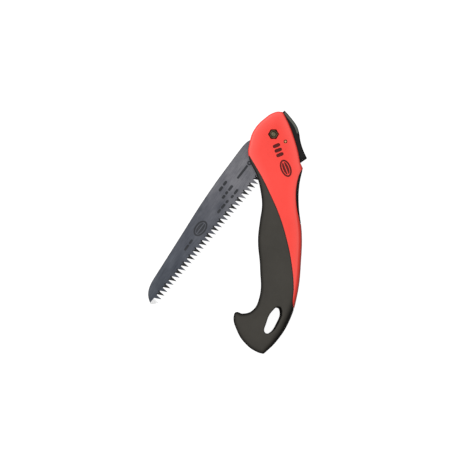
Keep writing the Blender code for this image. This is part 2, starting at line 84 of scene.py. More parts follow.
SCENE = bpy.context.scene
MM = 0.001
MERGE = 1e-6
WELD = 2e-6
JOINTS = {joint["name"]: Vector(joint["pos_m"]) for joint in frame["joints"]}
PIVOT = JOINTS["blade_fold"]
LOCK_PIN = tuple((JOINTS["lock_release"] - PIVOT) / MM)[:2]

# ---- plan of the handle

CORNER = "VECTOR"
HANDLE_HALF = 11.0
SEAM_HALF = 0.15
SKIN = 2.5
FIT_GAP = 0.3
SLOT_HALF = 1.7
HANDLE_OUTLINE = (
    (8.6, 20.6, CORNER), (2.8, 20.9), (-8.4, 14.6), (-18.5, 3.3), (-22.3, -8.0), (-23.4, -18.5),
    (-14.8, -40.0), (-11.8, -53.0), (-10.6, -66.0), (-12.5, -80.0), (-14.3, -98.0), (-12.4, -124.0),
    (-13.2, -152.0), (-19.5, -163.6), (-28.6, -166.6), (-34.8, -165.2), (-36.8, -168.0),
    (-34.0, -182.0), (-25.3, -195.0), (-15.2, -202.0), (-9.2, -203.8, CORNER), (2.5, -192.5),
    (14.8, -173.2), (22.3, -148.0), (25.7, -116.0), (26.3, -92.0), (23.5, -66.0), (23.9, -48.0),
    (27.2, -31.5, CORNER), (24.6, -26.0, CORNER), (22.4, -15.0), (17.9, 0.0), (14.0, 10.0),
)
GRIP_LINE = (
    (-22.4, -20.5, CORNER), (-10.9, -40.0), (-3.1, -56.0), (5.1, -75.0), (12.1, -98.0),
    (16.8, -122.0), (18.4, -142.0), (17.7, -158.0), (19.6, -166.0, CORNER),
)
GRIP_ZONE = GRIP_LINE + (
    (60.0, -240.0, CORNER), (-80.0, -240.0, CORNER), (-80.0, -20.5, CORNER),
)
CORE_OUTLINE = (
    (4.0, -38.0, CORNER), (-8.0, -38.0, CORNER), (-10.8, -46.0), (-9.2, -54.0), (-8.1, -66.0),
    (-10.0, -80.0), (-11.8, -98.0), (-9.9, -124.0), (-10.6, -151.0), (-16.0, -164.6),
    (-27.0, -169.2), (-34.0, -170.0), (-31.6, -181.0), (-23.6, -192.7), (-14.0, -199.6),
    (-9.0, -200.2), (0.4, -191.2), (12.4, -172.4), (18.6, -154.0), (22.5, -125.0), (22.0, -90.0),
    (17.0, -45.0, CORNER),
)
LANYARD_HOLE = (
    (4.4, -160.6), (6.7, -164.0), (3.8, -175.0), (-4.4, -184.9), (-8.6, -184.9), (-7.7, -175.5),
    (-1.9, -164.2),
)
PAD_LINE = (
    (25.9, -33.4, CORNER), (23.2, -40.0), (21.4, -49.0), (20.9, -56.0), (21.6, -67.0),
    (25.0, -82.5, CORNER),
)
PAD_ZONE = PAD_LINE + ((45.0, -82.5, CORNER), (45.0, -33.4, CORNER))
LEVER_OUTLINE = (
    (10.3, 22.2, CORNER), (16.6, 15.0), (21.9, 7.3), (23.9, 1.0), (25.0, -6.0), (27.4, -14.0),
    (31.1, -22.3, CORNER), (24.9, -26.6, CORNER), (22.0, -22.5, CORNER), (17.5, -13.5, CORNER),
    (12.6, -10.0), (9.3, -10.0), (7.4, -6.8), (9.0, -3.7), (11.8, -1.5, CORNER), (11.5, 2.0),
    (9.2, 7.2), (6.8, 14.0), (7.4, 19.0),
)
CHANNEL_OUTLINE = (
    (4.5, 32.0, CORNER), (5.9, 14.0), (8.2, 7.4), (10.8, 2.0), (10.9, -1.3, CORNER), (7.9, -3.4),
    (6.6, -6.6), (7.6, -9.5), (11.0, -11.0, CORNER), (16.1, -14.3, CORNER), (19.6, -23.8, CORNER),
    (22.2, -28.8, CORNER), (40.0, -28.4, CORNER), (40.0, 32.0, CORNER),
)
CHANNEL_HALF = 6.6
LEVER_HALF = 6.1
SHELL_SCREWS = ((17.8, -43.0), (17.5, -93.0), (10.0, -143.0), (-6.3, -193.2))
SPRING_SEAT = (14.9, -23.5)
SPRING_END = (19.1, -19.9)

# ---- plan of the blade

BLADE_REST = -123.5
BLADE_CLOSED = -93.0
BLADE_HALF = 0.6
TOOTH_COUNT = 36
FIRST_TOOTH_U = 37.5
LAST_TOOTH_U = 189.5
FIRST_TOOTH_V = 14.85
LAST_TOOTH_V = -2.6
TOOTH_DEPTH = 6.2
TOOTH_LEAN = 0.9
GULLET_HALF = 0.35
HEEL = ((35.2, 11.0), (15.0, 10.4))
BACK = (
    (16.3, -15.3), (20.0, -16.9), (27.0, -18.0), (46.0, -19.1), (66.0, -20.1), (94.0, -20.5),
    (125.0, -19.8), (150.0, -19.3), (168.0, -19.0), (176.5, -18.7), (182.8, -17.6),
    (187.5, -15.6), (191.2, -12.6), (194.0, -8.9),
)
NOSE = ((194.2, -7.3), (192.3, -5.4))
TANG_RADIUS = 10.4
BORE_RADIUS = 3.75
SWING_RADIUS = 196.3


# ---- materials

WHITE = (1.0, 1.0, 1.0)


def grey(level):
    return (level, level, level)


class Nodes:
    """A node tree that grows by outputs."""

    def __init__(self, tree):
        self.tree = tree

    def fill(self, node, values):
        """Set a node's inputs, or link those whose value comes out of another node."""
        for name, value in values.items():
            if isinstance(value, bpy.types.NodeSocket):
                self.tree.links.new(value, node.inputs[name])
            else:
                node.inputs[name].default_value = value

    def node(self, kind, output, values, **settings):
        """An output of a new node with the given inputs and settings."""
        node = self.tree.nodes.new("ShaderNode" + kind)
        for name, value in settings.items():
            setattr(node, name, value)
        self.fill(node, values)
        return node.outputs[output]


class Shader(Nodes):
    """A Principled material whose colour, roughness and bump come from procedural nodes."""

    def __init__(self, name, colour, roughness, metallic=0.0, specular=0.5):
        self.material = bpy.data.materials.new(name)
        self.material.use_nodes = True
        super().__init__(self.material.node_tree)
        self.main = self.tree.nodes["Principled BSDF"]
        self.fill(self.main, {"Base Color": (*colour, 1.0), "Roughness": roughness,
                              "Metallic": metallic, "Specular IOR Level": specular})
        self.place = self.node("TexCoord", "Object", {})

    def mapped(self, scale, turn=0.0, centre=(0.0, 0.0, 0.0)):
        """Object coordinates turned about Z and stretched, for grain that runs one way."""
        return self.node("Mapping", "Vector", {
            "Vector": self.place, "Location": centre,
            "Rotation": (0.0, 0.0, math.radians(turn)), "Scale": scale}, vector_type="TEXTURE")

    def noise(self, size, detail=3.0, vector=None, rough=0.55):
        """Noise whose blobs are about size millimetres."""
        return self.node("TexNoise", "Fac", {
            "Scale": 1.0 / (size * MM), "Detail": detail, "Roughness": rough,
            "Vector": self.place if vector is None else vector})

    def cells(self, size):
        return self.node("TexVoronoi", "Distance",
                         {"Scale": 1.0 / (size * MM), "Vector": self.place})

    def ramp(self, value, stops):
        node = self.tree.nodes.new("ShaderNodeValToRGB")
        band = node.color_ramp
        while len(band.elements) < len(stops):
            band.elements.new(0.5)
        for element, (place, colour) in zip(band.elements, stops):
            element.position = place
            element.color = (*colour, 1.0)
        self.fill(node, {"Fac": value})
        return node.outputs["Color"]

    def spread(self, value, low, high):
        """The middle of a noise stretched to run between two numbers."""
        return self.node("MapRange", "Result", {
            "Value": value, "From Min": 0.3, "From Max": 0.7, "To Min": low, "To Max": high})

    def blend(self, share, first, second, mode="MIX"):
        return self.node("Mix", 2, {"Factor": share, 6: first, 7: second},
                         data_type="RGBA", blend_type=mode)

    def along(self, turn, length):
        """Distance from the blade's pivot in one direction, as a share of a length."""
        vector = self.mapped((length * MM,) * 3, turn, PIVOT)
        return self.node("SeparateXYZ", "X", {"Vector": vector})

    def height_share(self, low, high):
        """Share of the way between two heights on either side of the seam."""
        height = self.node("SeparateXYZ", "Z", {"Vector": self.place})
        above = self.node("Math", "Value", {0: height, 1: PIVOT.z}, operation="SUBTRACT")
        reach = self.node("Math", "Value", {0: above}, operation="ABSOLUTE")
        return self.node("MapRange", "Result", {
            "Value": reach, "From Min": low * MM, "From Max": high * MM})

    def painted_edge_shade(self, low, high, dark):
        """Painted shade: white that falls to a dark brown where the handle's face rounds down to
        the seam.
        """
        return self.ramp(self.height_share(low, high),
                         ((0.0, (dark, 0.86 * dark, 0.7 * dark)), (1.0, WHITE)))

    def painted_edge_highlight(self, base, pale):
        """Painted highlight: a colour that turns paler in a band just inside the handle's edge."""
        share = self.ramp(self.height_share(9.7, 10.9), (
            (0.0, WHITE), (0.35, grey(0.15)), (0.55, grey(0.35)), (0.95, WHITE)))
        return self.blend(share, (*pale, 1.0), base)

    def coat(self, base, rough, *layers):
        """Colour, roughness and bump; a layer is (height, depth in mm), the coarsest first."""
        values = {}
        for height, depth in layers:
            values = {"Strength": 1.0, "Distance": depth * MM, "Height": height, **values}
            values = {"Normal": self.node("Bump", "Normal", values)}
        self.fill(self.main, {"Base Color": base, "Roughness": rough, **values})
        return self.material


def plastic(name, low, high, roughness, grain, depth, edge=(), pale=(), specular=0.35):
    shader = Shader(name, high, roughness, specular=specular)
    base = shader.ramp(shader.noise(38.0, 4.0), ((0.32, low), (0.68, high)))
    # pale is the colour of a painted highlight band inside the edge; edge sets a painted shade
    # where the face rounds down.
    if pale:
        base = shader.painted_edge_highlight(base, pale)
    if edge:
        base = shader.blend(1.0, base, shader.painted_edge_shade(*edge), "MULTIPLY")
    rough = shader.spread(shader.noise(9.0, 5.0), roughness - 0.05, roughness + 0.06)
    return shader.coat(base, rough, (shader.noise(14.0, 1.0), depth * 4.0),
                       (shader.noise(grain, 2.0), depth))


def rubber(name, low, high):
    shader = Shader(name, high, 0.62, specular=0.14)
    base = shader.ramp(shader.noise(30.0, 5.0), ((0.3, low), (0.7, high)))
    # Painted shade: the grip turns dark brown where its face rounds down at the edges.
    base = shader.blend(1.0, base, shader.painted_edge_shade(8.4, 10.8, 0.1), "MULTIPLY")
    return shader.coat(base, shader.spread(shader.noise(5.0, 4.0), 0.55, 0.7),
                       (shader.cells(0.75), 0.035), (shader.noise(0.35, 2.0), 0.012))


def metal(name, low, high, roughness):
    shader = Shader(name, high, roughness, 1.0)
    base = shader.ramp(shader.noise(2.5, 5.0), ((0.35, low), (0.65, high)))
    rough = shader.spread(shader.noise(1.2, 4.0), roughness - 0.07, roughness + 0.1)
    return shader.coat(base, rough, (shader.noise(0.5, 3.0), 0.004))


def brushed(name, low, high, roughness, metallic, depth, turn, reflection_fade=()):
    """Rolled and ground sheet steel, with the grain along the blade and cloudy patches, and a
    painted reflection along the blade when one is given.
    """
    shader = Shader(name, high, roughness, metallic)
    strokes = shader.noise(0.5, 3.0, shader.mapped((26.0, 1.0, 1.0), turn))
    clouds = shader.noise(11.0, 5.0, shader.mapped((1.8, 1.0, 1.0), turn), 0.6)
    base = shader.ramp(clouds, ((0.32, low), (0.66, high)))
    streak = shader.ramp(strokes, ((0.3, grey(0.82)), (0.7, grey(1.14))))
    base = shader.blend(1.0, base, streak, "MULTIPLY")
    if reflection_fade:
        base = shader.blend(1.0, base, shader.ramp(shader.along(turn, 200.0), reflection_fade), "MULTIPLY")
    return shader.coat(base, shader.spread(strokes, roughness - 0.06, roughness + 0.08),
                       (clouds, depth * 3.0), (strokes, depth))


# The red plastic has a painted shade on its rounded edges and a painted highlight band just inside
# them.
RED = plastic("red_plastic", (0.80, 0.040, 0.027), (0.87, 0.050, 0.035), 0.42, 0.6, 0.006,
              edge=(6.5, 9.6, 0.40), pale=(0.88, 0.105, 0.088))
# Painted shade: a near-black red on the floors of the sunk marks, in place of the shade that falls
# in them.
RED_SUNK_SHADE = plastic("red_sunk", (0.085, 0.006, 0.005), (0.13, 0.010, 0.007), 0.6, 0.5, 0.008,
                   specular=0.2)
GRIP = rubber("soft_grip", (0.040, 0.037, 0.0315), (0.049, 0.045, 0.038))
BLACK = plastic("black_nylon", (0.003, 0.003, 0.003), (0.007, 0.006, 0.006), 0.36, 0.5, 0.008,
                specular=0.16)
# Painted highlight: a lighter grey green for the raised strip along the lever's outer edge.
HIGHLIGHT_BLACK = plastic("worn_nylon", (0.052, 0.061, 0.050), (0.090, 0.101, 0.084), 0.36, 0.8, 0.01)
# Painted reflection: the blade's steel is lighter near the pivot and darker and bluer towards the
# tip.
PAINTED_REFLECTION_FADE = ((0.14, (1.18, 1.17, 1.19)), (0.25, (1.28, 1.26, 1.28)), (0.32, (1.22, 1.21, 1.24)),
        (0.43, (0.80, 0.82, 0.88)), (0.72, (0.62, 0.67, 0.75)), (0.95, (0.56, 0.62, 0.69)))
GRINDING = BLADE_REST + 60.0
STEEL = brushed("saw_steel", (0.078, 0.080, 0.090), (0.138, 0.138, 0.146), 0.42, 0.85, 0.004,
                BLADE_REST, PAINTED_REFLECTION_FADE)
EDGE_STEEL = brushed("edge_steel", (0.035, 0.036, 0.040), (0.055, 0.057, 0.062), 0.45, 0.8, 0.003,
                     BLADE_REST)
# Painted shade: the ground tooth facets are real, their near-black colour is painted shade.
GROUND_SHADE = brushed("ground_steel", (0.008, 0.008, 0.009), (0.020, 0.021, 0.022), 0.48, 0.35, 0.003,
                 GRINDING)
# Painted highlight: the ground facet at the nose is real, its pale colour is a painted highlight.
NOSE_HIGHLIGHT = brushed("bright_ground", grey(0.62), grey(0.75), 0.5, 0.6, 0.002, GRINDING)
ETCHED = brushed("etched_steel", (0.006, 0.007, 0.010), (0.022, 0.024, 0.030), 0.6, 0.2, 0.006,
                 BLADE_REST)
ZINC = metal("zinc_plate", grey(0.36), (0.52, 0.52, 0.50), 0.3)
YELLOW = metal("yellow_plate", (0.16, 0.12, 0.07), (0.34, 0.27, 0.15), 0.38)
DARK_NUT = metal("oiled_plate", (0.10, 0.090, 0.058), (0.17, 0.150, 0.098), 0.42)
PIN_GOLD = metal("pin_plate", (0.38, 0.18, 0.085), (0.64, 0.33, 0.17), 0.36)


# ---- objects and curves


def add_object(name, data):
    made = bpy.data.objects.new(name, data)
    SCENE.collection.objects.link(made)
    return made


def evaluated_mesh(source):
    """Mesh of an object with its curve or its modifiers worked out."""
    bpy.context.view_layer.update()
    graph = bpy.context.evaluated_depsgraph_get()
    return bpy.data.meshes.new_from_object(source.evaluated_get(graph))


def curve_mesh(curve):
    holder = add_object(curve.name, curve)
    mesh = evaluated_mesh(holder)
    bpy.data.objects.remove(holder, do_unlink=True)
    return mesh


def clean(mesh, merge=0.0, dissolve=False, outward=False):
    """Merge close vertices, drop slivers and turn the normals out, as asked."""
    work = bmesh.new()
    work.from_mesh(mesh)
    if merge:
        bmesh.ops.remove_doubles(work, verts=work.verts, dist=merge)
    if dissolve:
        bmesh.ops.dissolve_degenerate(work, edges=work.edges, dist=merge)
    if outward:
        bmesh.ops.recalc_face_normals(work, faces=work.faces)
    work.to_mesh(mesh)
    work.free()


def flat_curve(name, fill, steps):
    curve = bpy.data.curves.new(name, "CURVE")
    curve.dimensions = "2D"
    curve.fill_mode = fill
    curve.resolution_u = steps
    return curve


def add_smooth_spline(curve, line, scale=1.0):
    spline = curve.splines.new("BEZIER")
    spline.bezier_points.add(len(line) - 1)
    for knot, point in zip(spline.bezier_points, line):
        knot.co = (point[0] * scale, point[1] * scale, 0.0)
        kind = point[2] if len(point) > 2 else "AUTO"
        knot.handle_left_type = kind
        knot.handle_right_type = kind
    return spline


# ---- flat outlines


def placed(points, degrees, x=0.0, y=0.0):
    """Points of the plan turned about the pivot and then moved."""
    angle = math.radians(degrees)
    return [(x + u * math.cos(angle) - v * math.sin(angle),
             y + u * math.sin(angle) + v * math.cos(angle)) for u, v in points]


def polar(radius, degrees):
    return (radius * math.cos(math.radians(degrees)), radius * math.sin(math.radians(degrees)))


def moved(points, shift):
    return [(point[0] + shift[0], point[1] + shift[1]) for point in points]


def dense(points, steps, closed=True):
    """Points of a smooth line through the given ones, as an array."""
    curve = flat_curve("outline", "NONE", steps)
    add_smooth_spline(curve, points).use_cyclic_u = closed
    mesh = curve_mesh(curve)
    line = np.array([vertex.co[:2] for vertex in mesh.vertices])
    bpy.data.meshes.remove(mesh)
    return line


def thin_out(line, spacing, closed=True):
    """The line without the points that crowd the one before them."""
    kept = [line[0]]
    for point in line[1:]:
        if np.hypot(*(point - kept[-1])) >= spacing:
            kept.append(point)
    if closed and np.hypot(*(kept[0] - kept[-1])) < spacing * 0.6:
        kept.pop()
    return np.array(kept)


def distance(points, line, closed=True):
    """Distance of each point from a line of many points."""
    starts = line if closed else line[:-1]
    ends = np.roll(line, -1, axis=0) if closed else line[1:]
    run = ends - starts
    length = np.maximum((run ** 2).sum(1), 1e-12)
    best = np.full(len(points), 1e9)
    for low in range(0, len(points), 2000):
        some = points[low:low + 2000, None, :]
        share = ((some - starts) * run).sum(2) / length
        foot = starts + np.clip(share, 0.0, 1.0)[..., None] * run
        best[low:low + 2000] = np.sqrt(((some - foot) ** 2).sum(2).min(1))
    return best


def left_normals(tangent):
    """Unit normals to the left of each tangent."""
    tangent = tangent / np.maximum(np.hypot(tangent[:, 0], tangent[:, 1]), 1e-9)[:, None]
    return np.stack([-tangent[:, 1], tangent[:, 0]], 1)


def inward(line):
    """Unit normals of a closed line, towards its inside."""
    area = (line[:, 0] * np.roll(line[:, 1], -1) - np.roll(line[:, 0], -1) * line[:, 1]).sum()
    side = 1.0 if area > 0.0 else -1.0
    return left_normals(np.roll(line, -1, axis=0) - np.roll(line, 1, axis=0)) * side


def inside(points, line):
    """Which points lie inside a closed line."""
    x, y = points[:, 0], points[:, 1]
    found = np.zeros(len(points), bool)
    before = np.roll(line, 1, axis=0)
    for (ax, ay), (bx, by) in zip(before, line):
        if ay != by:
            crosses = ((ay > y) != (by > y)) & (x < (bx - ax) * (y - ay) / (by - ay) + ax)
            found ^= crosses
    return found


def spaced(points, least):
    """Points with no two nearer than about the least distance; the first ones win."""
    taken = {}
    kept = []
    for point in points:
        cell = (int(point[0] // least), int(point[1] // least))
        near = (taken.get((cell[0] + i, cell[1] + j)) for i in (-1, 0, 1) for j in (-1, 0, 1))
        if any(n is not None and np.hypot(*(n - point)) < least for n in near):
            continue
        taken[cell] = point
        kept.append(point)
    return np.array(kept)


def ring(start, count):
    """Pairs of numbers that follow each other round a closed line."""
    return [(start + i, start + (i + 1) % count) for i in range(count)]


def chain(start, count):
    """Pairs of numbers that follow each other along an open line of so many steps."""
    return [(start + i, start + i + 1) for i in range(count)]


def triangulate(points, edges):
    """Points, triangles and the sources of the points, for a plan that keeps to its edges."""
    plan, _, faces, sources, _, _ = delaunay_2d_cdt(
        [Vector(point) for point in points], edges, [], 1, 1e-5)
    return plan, faces, sources


# ---- meshes


def paint(mesh, *materials):
    """Give a mesh these materials and no others."""
    mesh.materials.clear()
    for material in materials:
        if material is not None:
            mesh.materials.append(material)


def mesh_object(name, vertices, faces, material, merge=MERGE):
    """A mesh object from millimetres about the pivot, its normals facing out."""
    mesh = bpy.data.meshes.new(name)
    mesh.from_pydata([Vector(v) * MM for v in vertices], [], faces)
    clean(mesh, merge, outward=True)
    paint(mesh, material)
    return add_object(name, mesh)


def slab(name, lines, low, high, material=None, grow=0.0, rounding=0.0, steps=10, smooth=True):
    """Flat solid between two heights from one outline, or from an outline and its holes."""
    curve = flat_curve(name, "BOTH", steps)
    curve.extrude = ((high - low) / 2.0 - rounding) * MM
    curve.bevel_depth = rounding * MM
    curve.bevel_resolution = 3
    curve.offset = (grow - rounding) * MM
    for line in lines:
        if smooth:
            spline = add_smooth_spline(curve, line, MM)
        else:
            spline = curve.splines.new("POLY")
            spline.points.add(len(line) - 1)
            for knot, point in zip(spline.points, line):
                knot.co = (point[0] * MM, point[1] * MM, 0.0, 1.0)
        spline.use_cyclic_u = True
    mesh = curve_mesh(curve)
    mesh.transform(Matrix.Translation((0.0, 0.0, (low + high) / 2.0 * MM)))
    clean(mesh, MERGE, outward=True)
    paint(mesh, material)
    return add_object(name, mesh)


def turned(name, profile, sides, material=None, place=(0.0, 0.0)):
    """Solid of revolution about Z from (radius, height) points, closed at both ends."""
    angles = [math.tau * index / sides for index in range(sides)]
    vertices = [(place[0] + radius * math.cos(angle), place[1] + radius * math.sin(angle), height)
                for radius, height in profile for angle in angles]
    last = (len(profile) - 1) * sides
    faces = [(a, b, b + sides, a + sides)
             for start in range(0, last, sides) for a, b in ring(start, sides)]
    faces += [tuple(range(sides)), tuple(range(last, last + sides))]
    return mesh_object(name, vertices, faces, material)


def boolean(solid, tools, operation="DIFFERENCE", transfer=False):
    """Apply a Boolean with each tool and leave the tools in place."""
    for tool in tools:
        step = solid.modifiers.new("cut", "BOOLEAN")
        step.operation = operation
        step.solver = "EXACT"
        step.material_mode = "TRANSFER" if transfer else "INDEX"
        step.object = tool
    mesh = evaluated_mesh(solid)
    solid.modifiers.clear()
    clean(mesh, WELD, dissolve=True)
    solid.data = mesh


def copied(solid, name, material):
    copy = add_object(name, solid.data.copy())
    paint(copy.data, material)
    return copy


def mirror(solid):
    """Mirror a solid through the seam."""
    solid.data.transform(Matrix.Scale(-1.0, 4, (0.0, 0.0, 1.0)))
    solid.data.flip_normals()


def finish_piece(solid, body, node_names, angle=32.0, turn=0.0):
    """Move a piece from the pivot into the frame, shade it and hand it to its body."""
    turning = Matrix.Rotation(math.radians(turn), 4, "Z")
    solid.data.transform(Matrix.Translation(PIVOT) @ turning)
    solid.data.shade_smooth()
    solid.data.set_sharp_from_angle(angle=math.radians(angle))
    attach(solid, body)
    if node_names:
        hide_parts(*node_names)


# ---- handle form

OUTLINE = thin_out(dense(HANDLE_OUTLINE, 26), 0.75)
BORDER = dense(GRIP_LINE, 30, closed=False)
PAD_EDGE = dense(PAD_LINE, 20, closed=False)
HOLE_LINE = thin_out(dense(LANYARD_HOLE, 20), 0.6)
HOLE_SHIFT = {"front": (1.0, 0.65), "back": (-0.95, -0.6)}
CROWN = 0.8
CROWN_REACH = 7.0
GROOVE_DEPTH = 0.45
GROOVE_REACH = 0.9
HOLE_LIP = 1.3


def edge_radius(points):
    """How far the handle's edge is rounded: little at the head, generously along the grip."""
    x, y = points[:, 0], points[:, 1]
    share = np.clip((-22.0 - y) / 30.0, 0.0, 1.0)
    share = share * share * (3.0 - 2.0 * share)
    right = np.clip((x - 6.0) / 8.0, 0.0, 1.0)
    pommel = np.clip((-150.0 - y) / 25.0, 0.0, 1.0) * np.clip((x + 12.0) / 14.0, 0.0, 1.0)
    return 2.2 + share * (1.6 + 1.8 * right) + 3.0 * pommel * share


def rounded(reach, radius):
    """Drop below the flat of a quarter round at a distance in from its edge."""
    inner = np.clip(radius - reach, 0.0, radius)
    return radius - np.sqrt(np.maximum(radius ** 2 - inner ** 2, 0.0))


def handle_height(points, hole_line):
    """Height of the handle's face over the seam."""
    reach = distance(points, OUTLINE)
    height = HANDLE_HALF - CROWN * np.exp(-reach / CROWN_REACH)
    height -= rounded(reach, edge_radius(points))
    hole = distance(points, hole_line)
    height -= rounded(hole, HOLE_LIP) * (hole < HOLE_LIP)
    for line in (BORDER, PAD_EDGE):
        near = np.clip(1.0 - distance(points, line, closed=False) / GROOVE_REACH, 0.0, 1.0)
        height -= GROOVE_DEPTH * near * near
    return height


def offset_rows(line, offsets):
    """Rows of points beside an open line."""
    normal = left_normals(np.gradient(line, axis=0))
    return np.concatenate([line + normal * offset for offset in offsets])


def round_steps(radius, angles):
    """How far in from its edge a quarter round has turned by each angle."""
    return [radius * (1.0 - math.cos(math.radians(angle))) for angle in angles]


def inner_rows(line, steps):
    """Rows of points inside a closed line, less those that come too near the line elsewhere."""
    normal = inward(line)
    rows = []
    for step in steps:
        row = line + normal * np.reshape(step, (-1, 1))
        rows.append(row[distance(row, line) > 0.97 * step])
    return rows


def inner_grid(line, pitch, margin):
    """A square grid of points that keeps clear of a closed line."""
    low, high = line.min(0), line.max(0)
    grid = np.mgrid[low[0]:high[0]:pitch, low[1]:high[1]:pitch].reshape(2, -1).T
    return grid[distance(grid, line) > margin]


def handle_points(hole_line):
    """Points that describe the handle's face: rows along its edges, and a loose grid between."""
    radius = edge_radius(OUTLINE)
    steps = round_steps(radius, (12, 24, 36, 48, 60, 74, 90)) + [radius + 1.6]
    rows = inner_rows(OUTLINE, steps)
    for line, offsets in ((BORDER, (0.15, -0.15, -0.45, 0.45, 0.8, -0.8, 1.2, -1.2)),
                          (PAD_EDGE, (0.15, -0.15, -0.45, 0.45, 0.8, -0.8))):
        rows.append(offset_rows(thin_out(line, 0.9, closed=False), offsets))
    lip = inward(hole_line)
    for angle in (0, 20, 40, 60, 75, 90):
        rows.append(hole_line - lip * HOLE_LIP * (1.0 - math.cos(math.radians(angle))))
    rows.append(hole_line - lip * (HOLE_LIP + 1.2))
    rows.append(inner_grid(OUTLINE, 2.6, 5.0))
    points = np.concatenate(rows)
    points = points[inside(points, OUTLINE)]
    points = points[distance(points, OUTLINE) > 0.02]
    return spaced(points, 0.22)


def solid_field(name, loop, points, height, floor, material):
    """Closed solid between a level floor and a height field over a loop."""
    plan, faces, _ = triangulate([*loop, *points], ring(0, len(loop)))
    plan = np.array([point[:] for point in plan])
    vertices = [(x, y, z) for (x, y), z in zip(plan, height(plan))]
    index = {(round(x, 4), round(y, 4)): number for number, (x, y) in enumerate(plan)}
    rim = [index[(round(x, 4), round(y, 4))] for x, y in loop]
    base = len(vertices)
    vertices += [(plan[i][0], plan[i][1], floor) for i in rim]
    faces = [tuple(face) for face in faces]
    faces += [(rim[i], rim[j], base + j, base + i) for i, j in ring(0, len(rim))]
    faces.append(tuple(reversed(range(base, base + len(rim)))))
    return mesh_object(name, vertices, faces, material)


# ---- marks

ARC_STEPS = 8
OVAL_SIDES = 40
LEAF_STEPS = 16
LEAF_LENGTH = 0.7
LEAF_WIDTH = 0.54
MIDRIB = 0.45


def pill(x, y, length, width, degrees):
    """Outline of a bar with round ends."""
    line = []
    for side in (1.0, -1.0):
        for step in range(ARC_STEPS + 1):
            turn = math.radians(-90.0 + 180.0 / ARC_STEPS * step)
            turn += 0.0 if side > 0.0 else math.pi
            line.append((side * (length - width) / 2.0 + width / 2.0 * math.cos(turn),
                         width / 2.0 * math.sin(turn)))
    return placed(line, degrees, x, y)


def disc(x, y, width):
    return pill(x, y, width, width, 0.0)


def oval(x, y, length, width, degrees):
    turns = [math.tau * step / OVAL_SIDES for step in range(OVAL_SIDES)]
    line = [(length / 2.0 * math.cos(turn), width / 2.0 * math.sin(turn)) for turn in turns]
    return placed(line, degrees, x, y)


def half_leaf(x, y, length, width, degrees, side, gap):
    """Outline of one side of a leaf, next to its midrib."""
    turns = [math.pi * (step / LEAF_STEPS) for step in range(LEAF_STEPS + 1)]
    line = [(length / 2.0 * math.cos(turn),
             side * (gap / 2.0 + (width - gap) / 2.0 * math.sin(turn) ** 0.9)) for turn in turns]
    return placed(line, degrees, x, y)


def emblem(x, y, length, width, degrees, stroke):
    """A plain leaf in a ring, as flat shapes that don't touch."""
    shapes = [[oval(x, y, length, width, degrees),
               oval(x, y, length - 2.0 * stroke, width - 2.0 * stroke, degrees)]]
    for side in (1.0, -1.0):
        shapes.append([half_leaf(x, y, length * LEAF_LENGTH, width * LEAF_WIDTH, degrees, side,
                                 stroke * MIDRIB)])
    return shapes


def mark_tool(name, rings, low, high, material):
    """One cutter made of many small flat solids that don't touch."""
    parts = [slab(name, ring, low, high, material, smooth=False) for ring in rings]
    work = bmesh.new()
    for part in parts:
        work.from_mesh(part.data)
    mesh = bpy.data.meshes.new(name)
    work.to_mesh(mesh)
    work.free()
    paint(mesh, material)
    return add_object(name, mesh)


# ---- shells and grips

FAR = 60.0
SWEEP_CLEARANCE = 0.9
CORE_TOP = HANDLE_HALF - SKIN - 1.6
LINING = 1.7
PIVOT_BORE = 7.2
LOCK_BORE = 1.72
NUT_RECESS = (8.9 / math.sqrt(3.0), 5.5, 10.95, 0.25)
BOLT_RECESS = (5.2, -5.5, -10.9, 0.3)
SCREW_RECESS = (3.2, -7.5, -10.75, 0.3)
MARK_DEPTH = 0.7
HEAD_SLANT = -68.0
HEAD_BARS = ((2.7, -10.6), (4.3, -14.8), (5.9, -19.0))
EMBLEM_PLACE = (11.3, -31.6)


def slot_outline():
    """Plan of the space that the blade sweeps between open and closed."""
    first, last = placed(((FIRST_TOOTH_U, FIRST_TOOTH_V + SWEEP_CLEARANCE),
                          (LAST_TOOTH_U, LAST_TOOTH_V + SWEEP_CLEARANCE)), BLADE_CLOSED)
    start = math.degrees(math.atan2(-math.sqrt(SWING_RADIUS ** 2 - last[0] ** 2), last[0]))
    arc = [polar(SWING_RADIUS, start - 1.0 * i) for i in range(17)]
    head = [(FAR, FAR), (FAR, -14.0), (14.0, -14.0), (13.2, -26.0)]
    return head + [first, last] + arc + [(-80.0, -185.0), (-80.0, FAR)]


def flared(name, sides, radius, floor, top, chamfer, place=(0.0, 0.0)):
    """Cutter for a recess whose mouth, at a height, is a little wider than its floor."""
    side = 1.0 if top > floor else -1.0
    profile = ((radius, floor), (radius, top - side * chamfer),
               (radius + chamfer * 3.0, top + side * chamfer * 2.0))
    return turned(name, profile, sides, None, place)


def half_form(side):
    """Solid of one half of the handle before it is divided."""
    hole_line = HOLE_LINE + np.array(HOLE_SHIFT[side])
    form = solid_field(f"t_form_{side}", OUTLINE, handle_points(hole_line),
                       lambda points: handle_height(points, hole_line), -2.0, RED)
    if side == "back":
        mirror(form)
    return form


def head_marks():
    """Three slanted bars and a leaf in a ring, sunk in the head, their floors in a painted shade.
    """
    shapes = [[pill(*place, 7.2, 3.2, 22.0)] for place in HEAD_BARS]
    shapes += emblem(*EMBLEM_PLACE, 16.8, 9.8, HEAD_SLANT, 1.6)
    return mark_tool("t_marks", shapes, HANDLE_HALF - MARK_DEPTH, HANDLE_HALF + 1.0, RED_SUNK_SHADE)


def through(name, line, half=FAR, **settings):
    """Slab of one outline that reaches as far to the front as to the back."""
    return slab(name, [line], -half, half, **settings)


